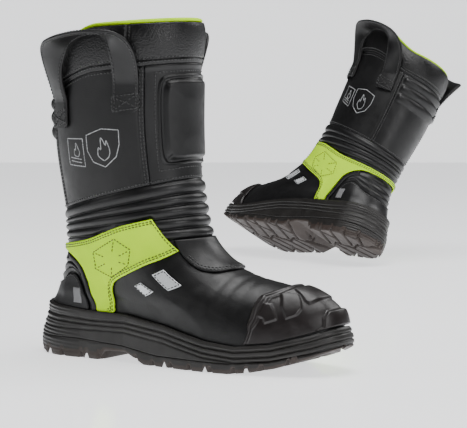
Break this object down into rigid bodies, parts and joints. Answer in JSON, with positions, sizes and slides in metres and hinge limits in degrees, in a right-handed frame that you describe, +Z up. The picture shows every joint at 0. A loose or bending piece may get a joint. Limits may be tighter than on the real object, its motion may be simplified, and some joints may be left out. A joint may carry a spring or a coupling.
{
  "type": "pair of fire boots",
  "caption": "Pair of pull-on leather fire boots with ribbed ankle, bright ankle band, rubber toe, cleated sole and side pull loops; one stands, one lies tipped.",
  "frame": {"origin": "centre of the bottom of the pair's bounding box, on the floor", "axes": "+Z up, +Y towards the toe of the standing right boot, +X towards its outer side and away from the left boot"},
  "size_m": [1.1096, 0.7042, 0.3222],
  "materials": {
    "black_leather": "satin, waxed full grain",
    "grain_leather": "matt, pebbled grain",
    "sole_rubber": "matt moulded",
    "toe_rubber": "satin moulded",
    "hi_vis_leather": "matt fluorescent yellow-green",
    "reflective_film": "silver-white retroreflective",
    "lining_fabric": "knitted",
    "composite_shell": "moulded fibre composite",
    "shank_steel": "rolled",
    "footbed_foam": "felt on foam"
  },
  "bodies": {
    "feet": {"right_outsole": "sole_rubber", "right_midsole": "sole_rubber", "right_shank": "shank_steel", "right_puncture_plate": "composite_shell", "right_footbed": "footbed_foam", "right_safety_toe_cap": "composite_shell", "right_heel_counter": "composite_shell", "right_foot_lining": "lining_fabric", "right_vamp": "black_leather", "right_toe_bumper": "toe_rubber", "right_heel_cap": "black_leather", "right_instep_guard": "black_leather", "right_hivis_band": "hi_vis_leather", "right_reflective_tab_large": "reflective_film", "right_reflective_tab_small": "reflective_film", "right_ankle_bellows": "black_leather", "left_outsole": "sole_rubber", "left_midsole": "sole_rubber", "left_shank": "shank_steel", "left_puncture_plate": "composite_shell", "left_footbed": "footbed_foam", "left_safety_toe_cap": "composite_shell", "left_heel_counter": "composite_shell", "left_foot_lining": "lining_fabric", "left_vamp": "black_leather", "left_toe_bumper": "toe_rubber", "left_heel_cap": "black_leather", "left_instep_guard": "black_leather", "left_hivis_band": "hi_vis_leather", "left_reflective_tab_large": "reflective_film", "left_reflective_tab_small": "reflective_film", "left_ankle_bellows": "black_leather"},
    "right_shaft": {"right_shaft_lining": "lining_fabric", "right_shin_panel": "black_leather", "right_side_panel_lateral": "black_leather", "right_side_panel_medial": "black_leather", "right_calf_panel": "black_leather", "right_shin_pad": "black_leather", "right_collar": "grain_leather", "right_collar_piping": "hi_vis_leather", "right_loop_tabs_lateral_front": "grain_leather", "right_loop_tabs_lateral_rear": "grain_leather", "right_loop_tabs_medial_front": "grain_leather", "right_loop_tabs_medial_rear": "grain_leather"},
    "right_loop_lateral": {"right_pull_loop_lateral": "black_leather"},
    "right_loop_medial": {"right_pull_loop_medial": "black_leather"},
    "left_shaft": {"left_shaft_lining": "lining_fabric", "left_shin_panel": "black_leather", "left_side_panel_lateral": "black_leather", "left_side_panel_medial": "black_leather", "left_calf_panel": "black_leather", "left_shin_pad": "black_leather", "left_collar": "grain_leather", "left_collar_piping": "hi_vis_leather", "left_loop_tabs_lateral_front": "grain_leather", "left_loop_tabs_lateral_rear": "grain_leather", "left_loop_tabs_medial_front": "grain_leather", "left_loop_tabs_medial_rear": "grain_leather"},
    "left_loop_lateral": {"left_pull_loop_lateral": "black_leather"},
    "left_loop_medial": {"left_pull_loop_medial": "black_leather"}
  },
  "joints": [
    {"name": "right_ankle_flex", "type": "hinge", "parent": "feet", "child": "right_shaft", "pos_m": [0.47038, 0.13712, 0.122], "axis": [-1, 0, 0], "range_deg": [-8, 15], "stiffness_Nm_per_rad": 12, "deforming": ["right_ankle_bellows"]},
    {"name": "right_loop_lateral_fold", "type": "hinge", "parent": "right_shaft", "child": "right_loop_lateral", "pos_m": [0.52033, 0.12584, 0.24103], "axis": [0.02, 0.9744, 0.2238], "range_deg": [0, 60], "stiffness_Nm_per_rad": 0.15},
    {"name": "right_loop_medial_fold", "type": "hinge", "parent": "right_shaft", "child": "right_loop_medial", "pos_m": [0.42042, 0.12584, 0.24103], "axis": [0.02, -0.9744, -0.2238], "range_deg": [0, 60], "stiffness_Nm_per_rad": 0.15},
    {"name": "left_ankle_flex", "type": "hinge", "parent": "feet", "child": "left_shaft", "pos_m": [-0.40169, -0.13343, 0.1315], "axis": [0.8236, -0.2676, 0.5], "range_deg": [-8, 15], "stiffness_Nm_per_rad": 12, "deforming": ["left_ankle_bellows"]},
    {"name": "left_loop_lateral_fold", "type": "hinge", "parent": "left_shaft", "child": "left_loop_lateral", "pos_m": [-0.41365, -0.11767, 0.25956], "axis": [0.3911, 0.8975, -0.2038], "range_deg": [0, 60], "stiffness_Nm_per_rad": 0.15},
    {"name": "left_loop_medial_fold", "type": "hinge", "parent": "left_shaft", "child": "left_loop_medial", "pos_m": [-0.49595, -0.09093, 0.2096], "axis": [-0.424, -0.8868, 0.1838], "range_deg": [0, 60], "stiffness_Nm_per_rad": 0.15}
  ]
}
